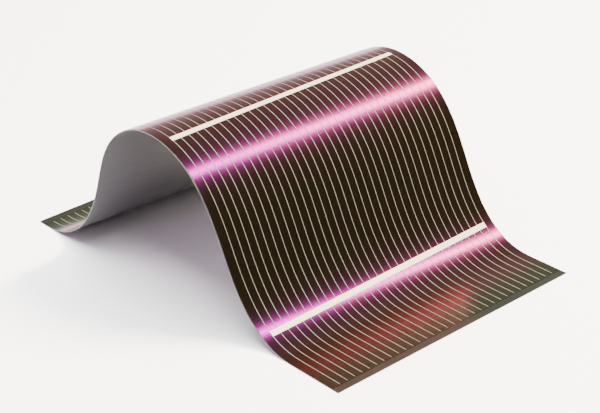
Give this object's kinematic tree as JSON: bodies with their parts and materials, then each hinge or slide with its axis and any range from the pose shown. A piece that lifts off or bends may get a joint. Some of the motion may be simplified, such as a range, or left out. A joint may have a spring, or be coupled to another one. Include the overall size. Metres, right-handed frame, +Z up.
{
  "type": "flexible solar sheet",
  "caption": "Bare thin-film solar cell on steel foil, bent into a free-standing arch, with silver finger tracks along it and busbars across it.",
  "frame": {"origin": "middle of the footprint, on the surface that the sheet stands on", "axes": "+X towards the front edge, along the fingers; +Y across the sheet, along the front edge; +Z up"},
  "size_m": [0.1538, 0.103, 0.057],
  "materials": {
    "steel_foil": "plain cold-rolled steel foil, satin, with fine rolling lines across the sheet",
    "back_contact": "sputtered grey metal film, satin",
    "absorber": "near-black semiconductor film, satin",
    "buffer": "thin yellowish film, satin",
    "window": "glossy transparent conductor over the dark absorber, near-black with interference colours from maroon and purple to olive green",
    "silver_print": "fired silver paste, pale and matte"
  },
  "bodies": {
    "root": {"steel_foil": "steel_foil", "back_contact_film": "back_contact", "absorber_film": "absorber", "buffer_film": "buffer", "window_film": "window", "finger_01": "silver_print", "finger_02": "silver_print", "finger_03": "silver_print", "finger_04": "silver_print", "finger_05": "silver_print", "finger_06": "silver_print", "finger_07": "silver_print", "finger_08": "silver_print", "finger_09": "silver_print", "finger_10": "silver_print", "finger_11": "silver_print", "finger_12": "silver_print", "finger_13": "silver_print", "finger_14": "silver_print", "finger_15": "silver_print", "finger_16": "silver_print", "finger_17": "silver_print", "finger_18": "silver_print", "finger_19": "silver_print", "finger_20": "silver_print", "finger_21": "silver_print", "finger_22": "silver_print", "finger_23": "silver_print", "finger_24": "silver_print", "finger_25": "silver_print", "finger_26": "silver_print", "finger_27": "silver_print", "finger_28": "silver_print", "finger_29": "silver_print", "finger_30": "silver_print", "finger_31": "silver_print", "finger_32": "silver_print", "busbar_1": "silver_print", "busbar_2": "silver_print", "busbar_3": "silver_print"}
  },
  "joints": []
}
